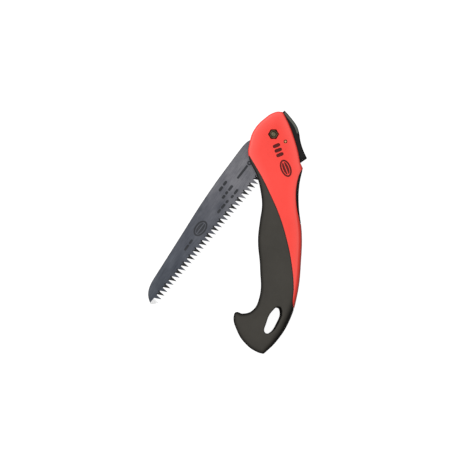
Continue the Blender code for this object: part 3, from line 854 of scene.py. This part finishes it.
def make_handle():
    """Shell, grip and spine strip of each half, cut from the same form."""
    sheet = ((-90.0, -230.0), (70.0, -230.0), (70.0, 50.0), (-90.0, 50.0))
    beyond = {"front": slab("t_below", [sheet], -FAR, SEAM_HALF, smooth=False),
              "back": slab("t_above", [sheet], -SEAM_HALF, FAR, smooth=False)}
    grip_zone = through("t_grip_zone", GRIP_ZONE)
    shell_zone = through("t_shell_zone", GRIP_ZONE, grow=FIT_GAP)
    core = through("t_core", CORE_OUTLINE, CORE_TOP, material=RED, steps=3)
    core_space = through("t_core_space", CORE_OUTLINE, CORE_TOP + FIT_GAP, grow=FIT_GAP, steps=3)
    lining = through("t_lining", LANYARD_HOLE, grow=LINING, steps=3)
    lining_space = through("t_lining_space", LANYARD_HOLE, grow=LINING + FIT_GAP, steps=3)
    boolean(core, [lining_space])
    boolean(core_space, [lining])
    slot = through("t_slot", slot_outline(), SLOT_HALF, smooth=False)
    channel = through("t_channel", CHANNEL_OUTLINE, CHANNEL_HALF)
    pad_zone = through("t_pad_zone", PAD_ZONE)
    pad_space = through("t_pad_space", PAD_ZONE, grow=FIT_GAP)
    bore = through("t_bore", disc(0.0, 0.0, PIVOT_BORE), smooth=False)
    screws = [flared(f"t_screw_{index}", 40, *SCREW_RECESS, place)
              for index, place in enumerate(SHELL_SCREWS, start=1)]
    own = {"front": [flared("t_nut", 6, *NUT_RECESS),
                     flared("t_lock_bore", 40, LOCK_BORE, -FAR, 10.85, 0.1, LOCK_PIN)],
           "back": [flared("t_bolt", 48, *BOLT_RECESS),
                    flared("t_lock_back", 40, LOCK_BORE, FAR, -10.85, 0.1, LOCK_PIN), *screws]}

    for side, rest in beyond.items():
        half = half_form(side)
        shell = copied(half, f"handle_shell_{side}", RED)
        boolean(shell, [shell_zone])
        boolean(shell, [core], "UNION")
        boolean(shell, [rest, slot, channel, pad_space, bore, *own[side]])
        if side == "front":
            boolean(shell, [head_marks()], transfer=True)
        grip = copied(half, f"handle_grip_{side}", GRIP)
        hole = through(f"t_lanyard_{side}", moved(LANYARD_HOLE, HOLE_SHIFT[side]), steps=20)
        boolean(grip, [rest, core_space, slot, hole])
        if side == "back":
            boolean(grip, screws[2:])
        boolean(grip, [grip_zone], "INTERSECT")
        pad = copied(half, f"spine_strip_{side}", GRIP)
        boolean(pad, [rest])
        boolean(pad, [pad_zone], "INTERSECT")
        finish_piece(shell, "handle", (f"shell_{side}",))
        finish_piece(grip, "handle", (f"grip_{side}",))
        finish_piece(pad, "handle", ("spine_pad",) if side == "front" else ())


make_handle()


# ---- blade

SLOT_SHEET, SLOT_GROUND, SLOT_EDGE, SLOT_BRIGHT = range(4)
DROP_BACK = 0.28
DROP_GULLET = 0.55
DROP_TIP = 0.4
DROP_NOSE = (0.5, 0.1)
BACK_BEVEL = 0.45
BORE_SIDES = 36
TANG_START = 48.5
TANG_LINE = [polar(TANG_RADIUS, TANG_START + 4.0 * i) for i in range(67)] + [polar(9.0, 316.5)]


def smooth_path(points, steps):
    """Points of a Catmull-Rom curve through the given ones."""
    ends = (points[0],) + tuple(points) + (points[-1],)
    path = []
    for before, start, end, after in zip(ends, ends[1:], ends[2:], ends[3:]):
        for index in range(steps):
            t = index / steps
            path.append(tuple(
                0.5 * (2.0 * b + (c - a) * t + (2.0 * a - 5.0 * b + 4.0 * c - d) * t ** 2
                       + (3.0 * b - 3.0 * c + d - a) * t ** 3)
                for a, b, c, d in zip(before, start, end, after)))
    return path + [points[-1]]


BACK_LINE = smooth_path(BACK, 8)


def tooth_v(u):
    share = (u - FIRST_TOOTH_U) / (LAST_TOOTH_U - FIRST_TOOTH_U)
    return FIRST_TOOTH_V + share * (LAST_TOOTH_V - FIRST_TOOTH_V)


def blade_rim():
    """Outline of the sheet with the drop of both faces at each point, and the ground facets."""
    pitch = (LAST_TOOTH_U - FIRST_TOOTH_U) / (TOOTH_COUNT - 1)
    rim = [(point, DROP_BACK, DROP_BACK, SLOT_EDGE) for point in BACK_LINE]
    rim += [(point, *DROP_NOSE, SLOT_BRIGHT) for point in NOSE]
    facets = {1: [], -1: []}
    for number in reversed(range(TOOTH_COUNT)):
        u = FIRST_TOOTH_U + number * pitch
        side = 1 if number % 2 == 1 else -1
        is_ground = 0 < number < TOOTH_COUNT - 1
        ground, ground_tip = (
            ((drop, 0.0) if side == 1 else (0.0, drop)) if is_ground else (0.0, 0.0)
            for drop in (DROP_GULLET, DROP_TIP))
        tip = (u, tooth_v(u))
        after, before = (
            (centre - way * GULLET_HALF, tooth_v(centre) - TOOTH_DEPTH)
            for way, centre in ((way, u + way * pitch / 2.0 + TOOTH_LEAN) for way in (1, -1)))
        if number < TOOTH_COUNT - 1:
            rim.append((after, *ground, SLOT_GROUND))
        rim.append((tip, *ground_tip, SLOT_GROUND))
        if number:
            rim.append((before, *ground, SLOT_GROUND))
        if is_ground:
            heart = (u + TOOTH_LEAN * 0.8, tip[1] - TOOTH_DEPTH + 0.2)
            facets[side].append((tip, after, (after[0] - 0.1, after[1] - 1.0), heart,
                                 (before[0] + 0.15, before[1] - 1.9), before))
    rim += [(point, 0.0, 0.0, SLOT_SHEET) for point in (*HEEL, *TANG_LINE)]
    return rim, facets


def in_facet(middle, facets):
    """Whether a place on the sheet lies inside one of the ground facets near it."""
    return any(inside(middle[None, :], np.array(facet))[0] for facet in facets
               if abs(facet[0][0] - middle[0]) < 6.0)


def sheet_side(rim, facets, side, base):
    """Vertices, triangles and material slots of one face, and where its rim and bore lie."""
    points = [point for point, _, _, _ in rim]
    count = len(points)
    loop = np.array(points)
    edge_row = loop[:len(BACK_LINE)] + inward(loop)[:len(BACK_LINE)] * BACK_BEVEL
    points += [polar(BORE_RADIUS, 360.0 / BORE_SIDES * i) for i in range(BORE_SIDES)]
    edges = ring(0, count) + ring(count, BORE_SIDES)
    edges += chain(len(points), len(BACK_LINE) - 2)
    points += [*edge_row[1:]]
    for facet in facets:
        start = len(points)
        edges += chain(start + 1, 4) + [(start, start + 3)]
        points += facet
    plan, triangles, origins = triangulate(points, edges)

    vertices = []
    around = {}
    bore = {}
    kinds = {}
    for number, (point, source) in enumerate(zip(plan, origins)):
        down = 0.0
        for origin in source:
            if origin < count:
                around[origin] = base + number
                down = rim[origin][1 if side == 1 else 2]
                kinds[number] = rim[origin][3] if down else SLOT_SHEET
            elif origin < count + BORE_SIDES:
                bore[origin - count] = base + number
        vertices.append((point.x, point.y, side * (BLADE_HALF - down)))
    faces = []
    slots = []
    bore_rim = set(bore.values())
    for triangle in triangles:
        if all(base + i in bore_rim for i in triangle):
            continue
        kind = max(kinds.get(i, SLOT_SHEET) for i in triangle)
        if kind < SLOT_EDGE:
            middle = np.array([sum(plan[i][axis] for i in triangle) / 3.0 for axis in (0, 1)])
            kind = int(in_facet(middle, facets))
        faces.append(tuple(base + i for i in triangle))
        slots.append(kind)
    return vertices, faces, slots, (around, bore)


def blade_sheet():
    """Flat sheet with each second tooth ground on the front and the others on the back."""
    rim, facets = blade_rim()
    vertices = []
    faces = []
    slots = []
    rims = []
    for side in (1, -1):
        more = sheet_side(rim, facets[side], side, len(vertices))
        vertices += more[0]
        faces += more[1]
        slots += more[2]
        rims.append(more[3])
    for top, bottom, slot in zip(*rims, (SLOT_EDGE, SLOT_SHEET)):
        faces += [(top[i], top[j], bottom[j], bottom[i]) for i, j in ring(0, len(top))]
        slots += [slot] * len(top)
    sheet = mesh_object("saw_blade_sheet", vertices, faces, None, merge=0.0)
    paint(sheet.data, STEEL, GROUND_SHADE, EDGE_STEEL, NOSE_HIGHLIGHT)
    sheet.data.polygons.foreach_set("material_index", slots)
    return sheet


DASH_ROWS = (
    ((60.0, -12.4), (71.8, -13.0), (5.2, 5.6), 2.5),
    ((60.4, -5.6), (76.0, -6.9), (6.2, 3.4, 4.2), 2.4),
    ((60.6, 0.6), (71.0, -0.2), (5.9, 3.6), 2.3),
    ((74.0, -1.3), (89.6, -3.1), (3.6, 5.6, 4.6), 2.3),
    ((123.0, -8.9), (135.5, -9.4), (5.0, 6.6), 2.1),
)
ETCH_DEPTH = 0.06


def dash_row(start, end, lengths, width):
    """Dashes of several lengths along a line, with even gaps between them."""
    run = Vector(end) - Vector(start)
    gap = (run.length - sum(lengths)) / (len(lengths) - 1)
    degrees = math.degrees(math.atan2(run.y, run.x))
    shapes = []
    reach = 0.0
    for length in lengths:
        middle = Vector(start) + run.normalized() * (reach + length / 2.0)
        shapes.append([pill(middle.x, middle.y, length, width, degrees)])
        reach += length + gap
    return shapes


def blade_marks():
    """Plain etched dashes, a leaf in a ring, and a line with a ring, in place of words."""
    shapes = [dash for row in DASH_ROWS for dash in dash_row(*row)]
    shapes += [[pill(44.9, -4.8, 15.6, 2.1, -4.4)]]
    shapes += [[oval(34.4, -4.0, 4.2, 4.2, 0.0), oval(34.4, -4.0, 1.6, 1.6, 0.0)]]
    shapes += emblem(110.2, -8.4, 16.4, 10.4, -4.0, 1.6)
    return mark_tool("t_etch", shapes, BLADE_HALF - ETCH_DEPTH, BLADE_HALF + 1.0, ETCHED)


blade = blade_sheet()
boolean(blade, [blade_marks()], transfer=True)
finish_piece(blade, "saw_blade", ("blade",), angle=20.0, turn=BLADE_REST)


# ---- lever

LEVER_LINE = thin_out(dense(LEVER_OUTLINE, 18), 0.5)
LEVER_EDGE = 1.3
LEVER_TRAVEL = 6.0
LEVER_SLOT_HALF = 1.5
LATCH_MIDDLE = 35.0
LATCH_RIVET = (15.8, 7.0)
HIGHLIGHT_STRIP_OUTLINE = (
    (10.9, 20.7, CORNER), (16.1, 14.6), (21.3, 7.1), (23.2, 1.2, CORNER), (21.7, 0.6, CORNER),
    (19.6, 6.2), (14.5, 13.4), (9.7, 19.3, CORNER),
)
GROOVE_HALF = 4.6
GROOVES_PER_RUN = 4
THUMB_EDGE = ((25.1, -6.5), (27.4, -14.0), (30.9, -21.8))


def lever_height(points):
    return LEVER_HALF - rounded(distance(points, LEVER_LINE), LEVER_EDGE)


def lever_points():
    rows = inner_rows(LEVER_LINE, round_steps(LEVER_EDGE, (15, 30, 45, 60, 75, 90)))
    points = np.concatenate(rows + [inner_grid(LEVER_LINE, 1.4, 1.8)])
    return spaced(points[inside(points, LEVER_LINE)], 0.15)


def thumb_grooves():
    """Small scallops across the outer edge of the thumb end."""
    grooves = []
    for start, end in zip(THUMB_EDGE, THUMB_EDGE[1:]):
        run = Vector(end) - Vector(start)
        across = math.degrees(math.atan2(run.y, run.x)) + 90.0
        for step in range(GROOVES_PER_RUN):
            middle = Vector(start) + run * (step + 0.5) / GROOVES_PER_RUN
            grooves.append(pill(middle.x, middle.y, 1.7, 0.9, across))
    return grooves


def latch_outline():
    """Plan of the latch plate that rests on the tang."""
    start, end = LATCH_MIDDLE - 7.5, LATCH_MIDDLE + 6.8
    nose = [polar(10.75, degrees) for degrees in (start, LATCH_MIDDLE, end)]
    return nose + [polar(16.0, end), (18.4, 9.5), (18.4, 3.5), polar(12.9, start - 2.0)]


def folded_heel():
    """Where the folded blade's heel comes in the pressed lever, as seen from the lever."""
    heel = ((0.0, 0.0), polar(TANG_RADIUS, TANG_START), HEEL[1], (24.0, 10.7), (24.0, 0.0))
    room = moved(placed(heel, BLADE_CLOSED), (-LOCK_PIN[0], -LOCK_PIN[1]))
    return moved(placed(room, LEVER_TRAVEL), LOCK_PIN)


def build_lever():
    front = solid_field("lock_lever_body", LEVER_LINE, lever_points(), lever_height, 0.0, BLACK)
    back = copied(front, "t_lever_back", BLACK)
    mirror(back)
    boolean(front, [back], "UNION")
    fork = ((7.5, 6.6), (22.0, 19.5), (22.0, FAR), (0.0, FAR), (0.0, 6.6))
    cuts = [("t_tang", disc(0.0, 0.0, 22.8), LEVER_SLOT_HALF, 0.0),
            ("t_latch", latch_outline(), LEVER_SLOT_HALF, FIT_GAP),
            ("t_heel", folded_heel(), LEVER_SLOT_HALF, FIT_GAP),
            ("t_fork", fork, LEVER_SLOT_HALF, 0.0),
            ("t_pin", disc(*LOCK_PIN, 4.0), FAR, 0.0),
            ("t_rivet", disc(*LATCH_RIVET, 3.0), 5.9, 0.0)]
    cuts += [("t_groove", groove, GROOVE_HALF, 0.0) for groove in thumb_grooves()]
    boolean(front, [through(name, line, half, grow=grow, smooth=False)
                    for name, line, half, grow in cuts])
    # Raised strips along the lever's outer edge, coloured lighter as a painted highlight.
    highlight_strips = [slab("t_strip", [HIGHLIGHT_STRIP_OUTLINE], low, low + 1.0, HIGHLIGHT_BLACK, rounding=0.25)
              for low in (LEVER_HALF - 0.65, -LEVER_HALF - 0.35)]
    boolean(front, highlight_strips, "UNION", transfer=True)
    return front


finish_piece(build_lever(), "lever", ("lock_lever",))


# ---- fasteners

NUT_CORNER = 8.1 / math.sqrt(3.0)
NUT_LOW = 5.8
NUT_HIGH = 9.8
BOLT_RADIUS = 2.4
BOLT_PITCH = 0.8
BOLT_HEAD = 4.7
BOLT_HEAD_LOW = -10.2
BOLT_HEAD_TOP = -7.0
PIN_RADIUS = 1.65
PIN_END = 10.6
SCREW_RADIUS = 1.3
SCREW_PITCH = 0.95
SCREW_HEAD = 2.8
SCREW_HEAD_LOW = -10.5
SCREW_HEAD_TOP = -7.8
SIDES = 48
WIRE = 0.32
COIL_RADIUS = 2.0
COIL_TURNS = 5
COIL_STEPS = 28


def threaded(radius, start, end, pitch, depth):
    """Profile points of a ridged shank from one height to another."""
    count = int(abs(end - start) / pitch)
    step = (end - start) / count
    points = []
    for index in range(count):
        points += [(radius, start + step * index), (radius, start + step * (index + 0.3)),
                   (radius - depth, start + step * (index + 0.65))]
    return points


def build_nut():
    """Hexagon nut with bevelled corners and a threaded bore."""
    wide = BOLT_RADIUS + 0.3
    nut = turned("pivot_nut_detail", ((NUT_CORNER, NUT_HIGH), (NUT_CORNER, NUT_LOW)), 6, DARK_NUT)
    cone = turned("t_cone", (
        (3.35, NUT_HIGH + 0.01), (4.9, NUT_HIGH - 1.1), (4.9, NUT_LOW + 0.5),
        (4.2, NUT_LOW - 0.01)), SIDES)
    rings = threaded(BOLT_RADIUS + 0.32, NUT_LOW - 0.6, NUT_HIGH - 0.6, BOLT_PITCH, 0.22)
    bore = turned("t_bore", (
        (wide, NUT_LOW - 1.0), *rings, (wide, NUT_HIGH - 0.55),
        (BOLT_RADIUS + 0.8, NUT_HIGH + 0.1)), SIDES)
    boolean(nut, [cone], "INTERSECT")
    boolean(nut, [bore])
    return nut


def build_bolt():
    """Bolt with a threaded end and a round head that has a hexagon socket."""
    bolt = turned("pivot_bolt_detail", (
        (0.7, 8.9), (0.9, 9.2), (1.7, 9.2), *threaded(BOLT_RADIUS, 8.8, 2.0, BOLT_PITCH, 0.3),
        (BOLT_RADIUS, 2.0), (BOLT_RADIUS, BOLT_HEAD_TOP),
        (BOLT_HEAD - 0.2, BOLT_HEAD_TOP), (BOLT_HEAD, BOLT_HEAD_TOP - 0.2),
        (BOLT_HEAD, -8.8), (BOLT_HEAD - 0.15, -9.3), (BOLT_HEAD - 0.6, -9.8),
        (BOLT_HEAD - 1.3, -10.1), (BOLT_HEAD - 2.0, BOLT_HEAD_LOW)), SIDES, DARK_NUT)
    boolean(bolt, [flared("t_socket", 6, 1.75, -8.2, BOLT_HEAD_LOW, 0.15)])
    return bolt


def build_pin():
    """Stepped pin, the same at both ends."""
    half = ((0.85, PIN_END), (1.05, PIN_END - 0.2), (1.1, PIN_END - 3.0),
            (PIN_RADIUS, PIN_END - 3.1))
    other = tuple((radius, -height) for radius, height in reversed(half))
    return turned("lock_pin_detail", half + other, SIDES, PIN_GOLD, LOCK_PIN)


def cross_outline(place, reach, half, degrees):
    """Outline of a plus sign for a screw's drive."""
    corners = ((reach, half), (half, half), (half, reach), (-half, reach), (-half, half),
               (-reach, half), (-reach, -half), (-half, -half), (-half, -reach), (half, -reach),
               (half, -half), (reach, -half))
    return moved(placed(corners, degrees), place)


def build_screw(number, place):
    """Pan-head screw with a cross drive, its head towards the back."""
    screw = turned(f"shell_screw_{number}_detail", (
        (0.7, 6.4), *threaded(SCREW_RADIUS, 5.9, SCREW_HEAD_TOP + 1.4, SCREW_PITCH, 0.32),
        (SCREW_RADIUS - 0.25, SCREW_HEAD_TOP),
        (SCREW_HEAD - 0.15, SCREW_HEAD_TOP), (SCREW_HEAD, SCREW_HEAD_TOP - 0.15),
        (SCREW_HEAD, -9.3), (SCREW_HEAD - 0.25, -9.9), (SCREW_HEAD - 0.8, -10.3),
        (SCREW_HEAD - 1.5, SCREW_HEAD_LOW)), SIDES, ZINC, place)
    drive = slab("t_drive", [cross_outline(place, 1.55, 0.36, 31.0 * number)],
                 SCREW_HEAD_LOW - 1.0, SCREW_HEAD_LOW + 1.5, smooth=False)
    boolean(screw, [drive])
    return screw


def build_spring():
    """Coil from its seat to the lever, with a flat coil at each end."""
    seat = Vector((*SPRING_SEAT, 0.0))
    run = Vector((*SPRING_END, 0.0)) - seat
    along = run.normalized()
    across = Vector((-along.y, along.x, 0.0))
    curve = bpy.data.curves.new("lock_spring_coil", "CURVE")
    curve.dimensions = "3D"
    curve.bevel_depth = WIRE * MM
    curve.bevel_resolution = 3
    curve.use_fill_caps = True
    spline = curve.splines.new("POLY")
    last = COIL_TURNS * COIL_STEPS
    spline.points.add(last)
    free = run.length - 2.0 * WIRE
    for index, knot in enumerate(spline.points):
        share = index / last
        eased = min(max((share * COIL_TURNS - 0.8) / (COIL_TURNS - 1.6), 0.0), 1.0)
        place = WIRE + 0.3 * share + (free - 0.3) * eased
        turn = math.tau * COIL_TURNS * share
        point = seat + along * place + across * COIL_RADIUS * math.cos(turn)
        knot.co = (point.x * MM, point.y * MM, COIL_RADIUS * math.sin(turn) * MM, 1.0)
    mesh = curve_mesh(curve)
    clean(mesh, WELD)
    paint(mesh, ZINC)
    return add_object("lock_spring_coil", mesh), along, seat


finish_piece(build_nut(), "handle", ("pivot_nut",), angle=25.0)
finish_piece(build_bolt(), "handle", ("pivot_bolt",), angle=25.0)
finish_piece(build_pin(), "handle", ("lock_pin",), angle=25.0)
for number, place in enumerate(SHELL_SCREWS, start=1):
    screw = build_screw(number, place)
    finish_piece(screw, "handle", (f"shell_screw_{number}",), angle=25.0)
coil, coil_axis, coil_seat = build_spring()
finish_piece(coil, "handle", ("lock_spring",))
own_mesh(coil)

for tool in [made for made in bpy.data.objects if made.name.startswith("t_")]:
    bpy.data.objects.remove(tool, do_unlink=True)


# ---- camera, light, floor

CAMERA_OFFSET = (-41.3, -87.8)
FRAME_WIDTH = 425.9
CAMERA_HEIGHT = 2.6
DOME_TILT = (-0.34, 0.30, 0.89)
KEY_PLACE = Vector((-0.9, 0.9, 1.7))
FLOOR_REACH = 6000.0
FLOOR_GAP = 0.0005


def make_camera():
    data = bpy.data.cameras.new("camera")
    data.sensor_width = 36.0
    data.lens = data.sensor_width * CAMERA_HEIGHT / (FRAME_WIDTH * MM)
    data.clip_end = 50.0
    camera = add_object("camera", data)
    camera.location = (PIVOT.x + CAMERA_OFFSET[0] * MM, PIVOT.y + CAMERA_OFFSET[1] * MM,
                       PIVOT.z + CAMERA_HEIGHT)
    SCENE.camera = camera


def make_key_light():
    """Large soft disc that shines on the saw from the upper left."""
    data = bpy.data.lights.new("key", "AREA")
    data.shape = "DISK"
    data.size = 1.2
    data.energy = 16.0
    light = add_object("key", data)
    light.location = KEY_PLACE
    light.rotation_euler = (-KEY_PLACE).to_track_quat("-Z", "Y").to_euler()


def make_world(zenith, horizon):
    """Soft dome of light, brightest overhead and a little towards the upper left."""
    world = bpy.data.worlds.new("studio")
    world.use_nodes = True
    dome = Nodes(world.node_tree)
    place = dome.node("TexCoord", "Generated", {})
    tilt = dome.node("VectorMath", "Value", {0: place, 1: DOME_TILT}, operation="DOT_PRODUCT")
    strength = dome.node("MapRange", "Result", {
        "Value": tilt, "From Min": 0.0, "From Max": 1.0, "To Min": horizon, "To Max": zenith})
    dome.fill(dome.tree.nodes["Background"], {"Color": (*WHITE, 1.0), "Strength": strength})
    SCENE.world = world


def make_floor():
    """Pale sheet lit from beneath as well, as on a light table, so that it stays white."""
    corners = [(x * FLOOR_REACH, y * FLOOR_REACH, 0.0)
               for x, y in ((-1, -1), (1, -1), (1, 1), (-1, 1))]
    shader = Shader("pale_floor", grey(0.2), 0.9, specular=0.0)
    shader.fill(shader.main, {
        "Base Color": shader.ramp(shader.noise(400.0, 2.0), ((0.3, grey(0.19)), (0.7, grey(0.21)))),
        "Emission Color": (*WHITE, 1.0), "Emission Strength": 0.95})
    floor = mesh_object("floor", corners, [(0, 1, 2, 3)], shader.material)
    floor.location.z = cad_box[0].z - FLOOR_GAP
    if floor.data.polygons[0].normal.z < 0.0:
        floor.data.flip_normals()
    floor.visible_diffuse = False
    floor.visible_glossy = False


SCENE.view_settings.view_transform = "Standard"
make_camera()
make_world(1.25, 0.35)
make_key_light()
make_floor()

for name, node in frame["nodes"].items():
    if not node.hide_render:
        paint(node.data, YELLOW if "nut" in name or "bolt" in name else ZINC)
